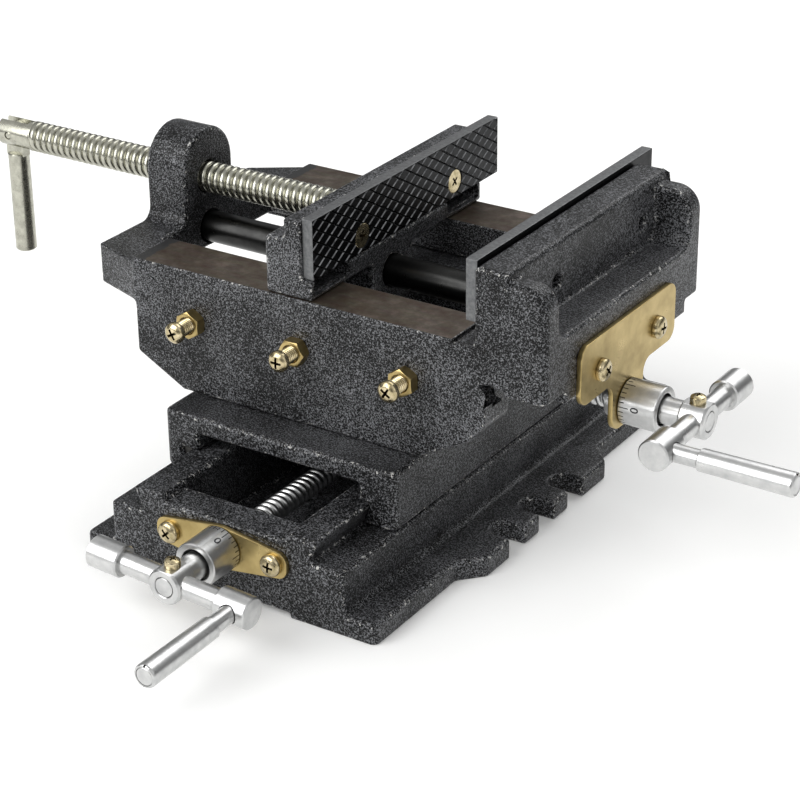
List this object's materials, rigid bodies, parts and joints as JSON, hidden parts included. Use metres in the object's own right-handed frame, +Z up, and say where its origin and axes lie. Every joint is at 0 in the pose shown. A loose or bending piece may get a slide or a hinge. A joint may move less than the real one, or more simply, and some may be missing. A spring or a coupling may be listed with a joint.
{
  "type": "cross slide vise",
  "caption": "Compound machine vise: a moving jaw on a screw, on dovetail cross slides with lead screws, dials and crank handles, on a slotted base.",
  "frame": {"origin": "middle of the base's bottom plane, midway between the flange's sides and between the base's ends", "axes": "+Z up; +X along the clamp screw and the upper slide, towards the fixed jaw; +Y along the lower slide, away from the lower crank"},
  "size_m": [0.357, 0.299, 0.1295],
  "materials": {
    "casting_paint": "black hammertone enamel on grey cast iron, bare where machined",
    "hard_steel": "dark hardened and ground",
    "bright_plating": "bright plated steel",
    "yellow_zinc": "yellow passivated zinc",
    "black_oxide": "black oxide, oiled",
    "nut_metal": "machined"
  },
  "bodies": {
    "base": {"base_casting": "casting_paint", "lower_screw_plate": "yellow_zinc", "lower_plate_screws": "yellow_zinc"},
    "saddle": {"saddle_casting": "casting_paint", "lower_gib": "hard_steel", "lower_gib_screws": "yellow_zinc", "lower_gib_nuts": "yellow_zinc", "lower_screw_nut": "nut_metal", "lower_nut_bolts": "black_oxide", "upper_screw_nut": "nut_metal", "upper_nut_bolts": "black_oxide"},
    "vise": {"vise_body": "casting_paint", "upper_gib": "hard_steel", "upper_gib_screws": "yellow_zinc", "upper_gib_nuts": "yellow_zinc", "upper_screw_plate": "yellow_zinc", "upper_plate_screws": "yellow_zinc", "guide_bar": "black_oxide", "fixed_jaw_plate": "hard_steel", "fixed_jaw_screws": "black_oxide"},
    "jaw": {"moving_jaw": "casting_paint", "moving_jaw_plate": "hard_steel", "moving_jaw_screws": "black_oxide", "clamp_retaining_pin": "hard_steel"},
    "clamp": {"clamp_screw": "bright_plating", "clamp_handle_pin": "bright_plating"},
    "handle": {"clamp_handle": "bright_plating"},
    "lower_crank": {"lower_lead_screw": "bright_plating", "lower_crank_arm": "bright_plating", "lower_crank_set_screw": "bright_plating", "lower_handle_spindle": "bright_plating"},
    "lower_dial_ring": {"lower_dial": "bright_plating"},
    "lower_grip": {"lower_handle_grip": "bright_plating"},
    "upper_crank": {"upper_lead_screw": "bright_plating", "upper_crank_arm": "bright_plating", "upper_crank_set_screw": "bright_plating", "upper_handle_spindle": "bright_plating"},
    "upper_dial_ring": {"upper_dial": "bright_plating"},
    "upper_grip": {"upper_handle_grip": "bright_plating"}
  },
  "joints": [
    {"name": "saddle_slide", "type": "slide", "parent": "base", "child": "saddle", "axis": [0, 1, 0], "range_m": [-0.032, 0.044]},
    {"name": "vise_slide", "type": "slide", "parent": "saddle", "child": "vise", "axis": [1, 0, 0], "range_m": [-0.028, 0.038]},
    {"name": "jaw_slide", "type": "slide", "parent": "vise", "child": "jaw", "axis": [1, 0, 0], "range_m": [-0.06, 0.0615]},
    {"name": "clamp_turn", "type": "hinge", "parent": "jaw", "child": "clamp", "pos_m": [-0.0132, -0.01, 0.11], "axis": [1, 0, 0], "range_deg": [-7210, 7390]},
    {"name": "handle_fold", "type": "hinge", "parent": "clamp", "child": "handle", "pos_m": [-0.172, -0.01, 0.11], "axis": [0, 1, 0], "range_deg": [0, 180]},
    {"name": "lower_crank_turn", "type": "hinge", "parent": "base", "child": "lower_crank", "pos_m": [0, -0.11, 0.021], "axis": [0, -1, 0], "range_deg": [-3850, 5290]},
    {"name": "lower_dial_turn", "type": "hinge", "parent": "lower_crank", "child": "lower_dial_ring", "pos_m": [0, -0.112, 0.021], "axis": [0, -1, 0], "continuous": true},
    {"name": "lower_grip_turn", "type": "hinge", "parent": "lower_crank", "child": "lower_grip", "pos_m": [0.02694, -0.154, 0.01926], "axis": [0, -1, 0], "continuous": true},
    {"name": "upper_crank_turn", "type": "hinge", "parent": "vise", "child": "upper_crank", "pos_m": [0.1, -0.006, 0.06], "axis": [1, 0, 0], "range_deg": [-3370, 4570]},
    {"name": "upper_dial_turn", "type": "hinge", "parent": "upper_crank", "child": "upper_dial_ring", "pos_m": [0.102, -0.006, 0.06], "axis": [1, 0, 0], "continuous": true},
    {"name": "upper_grip_turn", "type": "hinge", "parent": "upper_crank", "child": "upper_grip", "pos_m": [0.144, -0.033, 0.06], "axis": [1, 0, 0], "continuous": true}
  ],
  "couplings": [
    {"joint": "lower_crank_turn", "follows": "saddle_slide", "rad_per_m": 2094.4},
    {"joint": "upper_crank_turn", "follows": "vise_slide", "rad_per_m": 2094.4},
    {"joint": "clamp_turn", "follows": "jaw_slide", "rad_per_m": 2094.4}
  ]
}
